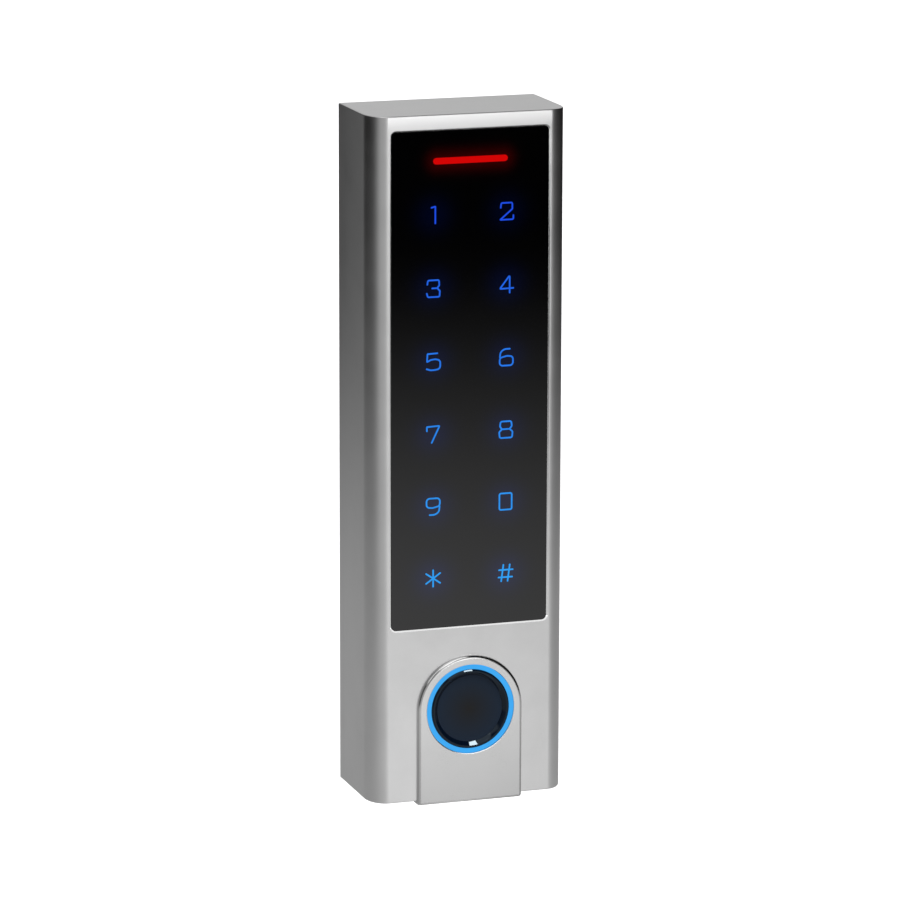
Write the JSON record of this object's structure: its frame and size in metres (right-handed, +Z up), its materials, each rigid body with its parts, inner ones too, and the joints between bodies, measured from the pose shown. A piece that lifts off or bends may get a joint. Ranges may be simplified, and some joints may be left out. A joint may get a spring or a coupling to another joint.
{
  "type": "fingerprint scanner terminal",
  "caption": "Slim wall-mounted access terminal: satin metal housing, black touch keypad with lit keys, red status bar, and a round fingerprint sensor in a lit blue ring.",
  "frame": {"origin": "centre of the wall face, on the back of the wall plate", "axes": "+Z up, along the terminal's height; +Y into the wall; the front looks along -Y and +X is to the right of a person facing it"},
  "size_m": [0.048, 0.0267, 0.1629],
  "materials": {
    "satin_zinc": "satin, finely brushed cast zinc",
    "bezel_zinc": "satin cast zinc with polished edges",
    "black_glass": "printed black toughened glass, glossy",
    "sensor_black": "coated blue-black disc",
    "rim_black": "glossy dark bevel",
    "ring_light": "lit translucent light guide",
    "blue_light": "lit key legend",
    "red_light": "lit status bar",
    "plate_steel": "rolled stainless sheet",
    "screw_steel": "zinc-plated steel",
    "black_plastic": "spark-eroded moulded texture",
    "white_plastic": "moulded nylon",
    "chip_black": "moulded epoxy",
    "circuit_board": "green solder mask",
    "copper": "enamelled copper",
    "tin": "plated can",
    "relay_blue": "moulded case",
    "capacitor_sleeve": "shrink sleeve",
    "ribbon": "polyimide flexible lead",
    "adhesive": "foam adhesive",
    "diffuser": "frosted film",
    "black_rubber": "moulded rubber"
  },
  "bodies": {
    "wall_plate": {"wall_plate": "plate_steel", "clinch_nut": "screw_steel"},
    "terminal": {"front_housing": "satin_zinc", "touch_panel": "black_glass", "panel_adhesive": "adhesive", "legend_film": "diffuser", "light_baffle": "white_plastic", "status_light_pipe": "red_light", "keypad_board": "circuit_board", "keypad_screws": "screw_steel", "key_leds": "blue_light", "status_leds": "red_light", "touch_controller": "chip_black", "antenna_coil": "copper", "board_connector": "white_plastic", "main_board": "circuit_board", "board_screws": "screw_steel", "processor_chip": "chip_black", "flash_chip": "chip_black", "crystal": "tin", "relay": "relay_blue", "buzzer": "black_plastic", "capacitor": "capacitor_sleeve", "cable_connector": "white_plastic", "ribbon_connector": "white_plastic", "sensor_ribbon": "ribbon", "sensor_bezel": "bezel_zinc", "bezel_screws": "screw_steel", "sensor_lens": "sensor_black", "sensor_trim_ring": "rim_black", "ring_light_guide": "ring_light", "ring_leds": "ring_light", "sensor_holder": "black_plastic", "sensor_o_ring": "black_rubber", "sensor_chip": "chip_black", "sensor_board": "circuit_board", "sensor_clamp": "plate_steel", "sensor_clamp_screws": "screw_steel", "rear_cover": "black_plastic", "rear_cover_seal": "black_rubber", "rear_cover_screws": "screw_steel", "cable_grommet": "black_rubber", "tamper_switch": "chip_black", "tamper_spring": "screw_steel"},
    "security_screw": {"security_screw": "screw_steel"},
    "tamper_plunger": {"tamper_plunger": "white_plastic"}
  },
  "joints": [
    {"name": "terminal_swing", "type": "hinge", "parent": "wall_plate", "child": "terminal", "pos_m": [0, -0.0029, 0.0763], "axis": [-1, 0, 0], "range_deg": [0, 10]},
    {"name": "security_screw_out", "type": "slide", "parent": "wall_plate", "child": "security_screw", "axis": [0, 0, -1], "range_m": [0, 0.004]},
    {"name": "tamper_plunger_out", "type": "slide", "parent": "terminal", "child": "tamper_plunger", "axis": [0, 1, 0], "range_m": [0, 0.0011], "stiffness_N_per_m": 120, "springref_m": 0.004, "deforming": ["tamper_spring"]}
  ]
}
